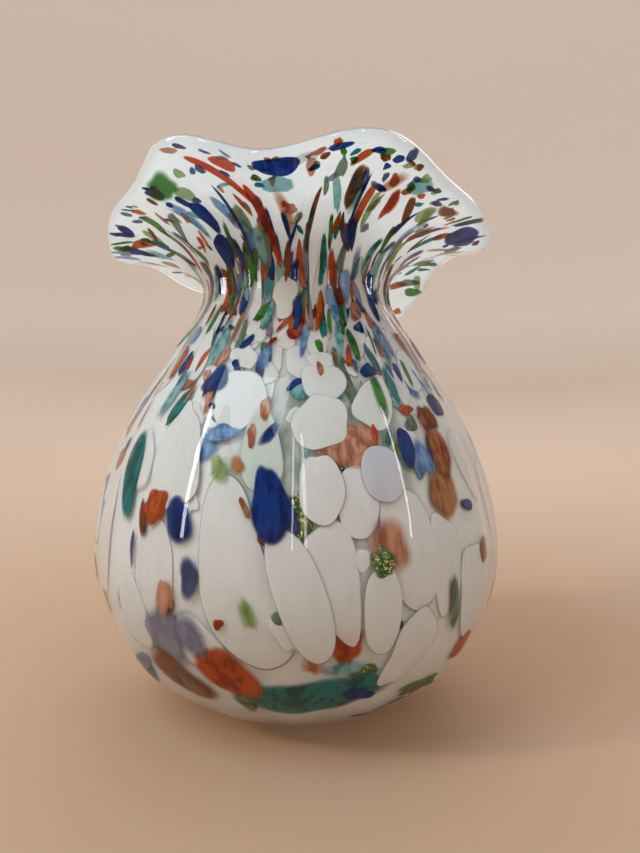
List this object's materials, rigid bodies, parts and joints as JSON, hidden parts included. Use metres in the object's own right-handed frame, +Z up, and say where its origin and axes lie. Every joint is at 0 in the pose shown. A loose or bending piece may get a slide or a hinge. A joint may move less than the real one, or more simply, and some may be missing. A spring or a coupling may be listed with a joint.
{
  "type": "art glass vase",
  "caption": "Pear-shaped blown glass vase with a narrow neck, a wide ruffled lip and coloured chips inside a clear ribbed wall; holds cut flowers.",
  "frame": {"origin": "centre of the flat ground base, on the surface that the vase stands on", "axes": "+Z up the vase's axis, -Y towards the front, where the lip has its two close lobes, +X to the right seen from the front"},
  "size_m": [0.1497, 0.1566, 0.1848],
  "materials": {
    "clear_glass": "clear, fire polished",
    "opal_white": "opaque milky white opal",
    "cobalt_glass": "strong coloured glass, smooth",
    "slate_glass": "strong coloured glass, smooth",
    "lavender_glass": "strong coloured glass, smooth",
    "salmon_glass": "strong coloured glass, smooth",
    "tan_glass": "strong coloured glass, smooth",
    "amber_glass": "strong coloured glass, smooth",
    "orange_glass": "strong coloured glass, smooth",
    "brown_glass": "strong coloured glass, smooth",
    "teal_glass": "strong coloured glass, smooth",
    "aqua_glass": "strong coloured glass, smooth",
    "leaf_green_glass": "strong coloured glass, smooth",
    "glitter_green_glass": "dark green with metallic glitter"
  },
  "bodies": {
    "root": {"casing": "clear_glass", "lining": "clear_glass", "white_shoulder_left": "opal_white", "white_shoulder_mid": "opal_white", "white_shoulder_heart": "opal_white", "white_shoulder_top": "opal_white", "white_neck_front": "opal_white", "white_middle_left": "opal_white", "white_middle_egg": "opal_white", "white_middle_right": "opal_white", "white_middle_far": "opal_white", "white_tall_left": "opal_white", "white_long_sweep": "opal_white", "white_long_leaning": "opal_white", "white_front_tapered": "opal_white", "white_low_short": "opal_white", "white_low_right": "opal_white", "white_tall_right": "opal_white", "white_right_slim": "opal_white", "white_right_edge": "opal_white", "white_left_low": "opal_white", "white_side_right": "opal_white", "white_side_left": "opal_white", "white_back_right": "opal_white", "white_back_middle": "opal_white", "white_back_left": "opal_white", "cobalt_drop": "cobalt_glass", "cobalt_left_upper": "cobalt_glass", "cobalt_left_lower": "slate_glass", "cobalt_right": "cobalt_glass", "cobalt_shoulder": "cobalt_glass", "cobalt_neck": "cobalt_glass", "cobalt_lip_front": "cobalt_glass", "cobalt_lip_right": "cobalt_glass", "cobalt_low_front": "cobalt_glass", "lavender_left": "lavender_glass", "salmon_front": "salmon_glass", "salmon_halo": "salmon_glass", "tan_right": "tan_glass", "amber_right": "amber_glass", "amber_upper_right": "amber_glass", "orange_left": "orange_glass", "orange_low_left": "orange_glass", "orange_low_front": "orange_glass", "orange_low_right": "orange_glass", "orange_lip_streak": "orange_glass", "red_lip_left": "orange_glass", "brown_low_left": "brown_glass", "brown_lip_streak": "brown_glass", "teal_low_front": "teal_glass", "teal_left": "teal_glass", "aqua_shoulder_left": "aqua_glass", "green_glitter": "glitter_green_glass", "green_lip_left": "leaf_green_glass", "green_right": "leaf_green_glass", "dark_glitter": "glitter_green_glass", "cobalt_back": "cobalt_glass", "orange_back": "orange_glass", "green_back": "leaf_green_glass", "teal_back": "teal_glass"}
  },
  "joints": []
}
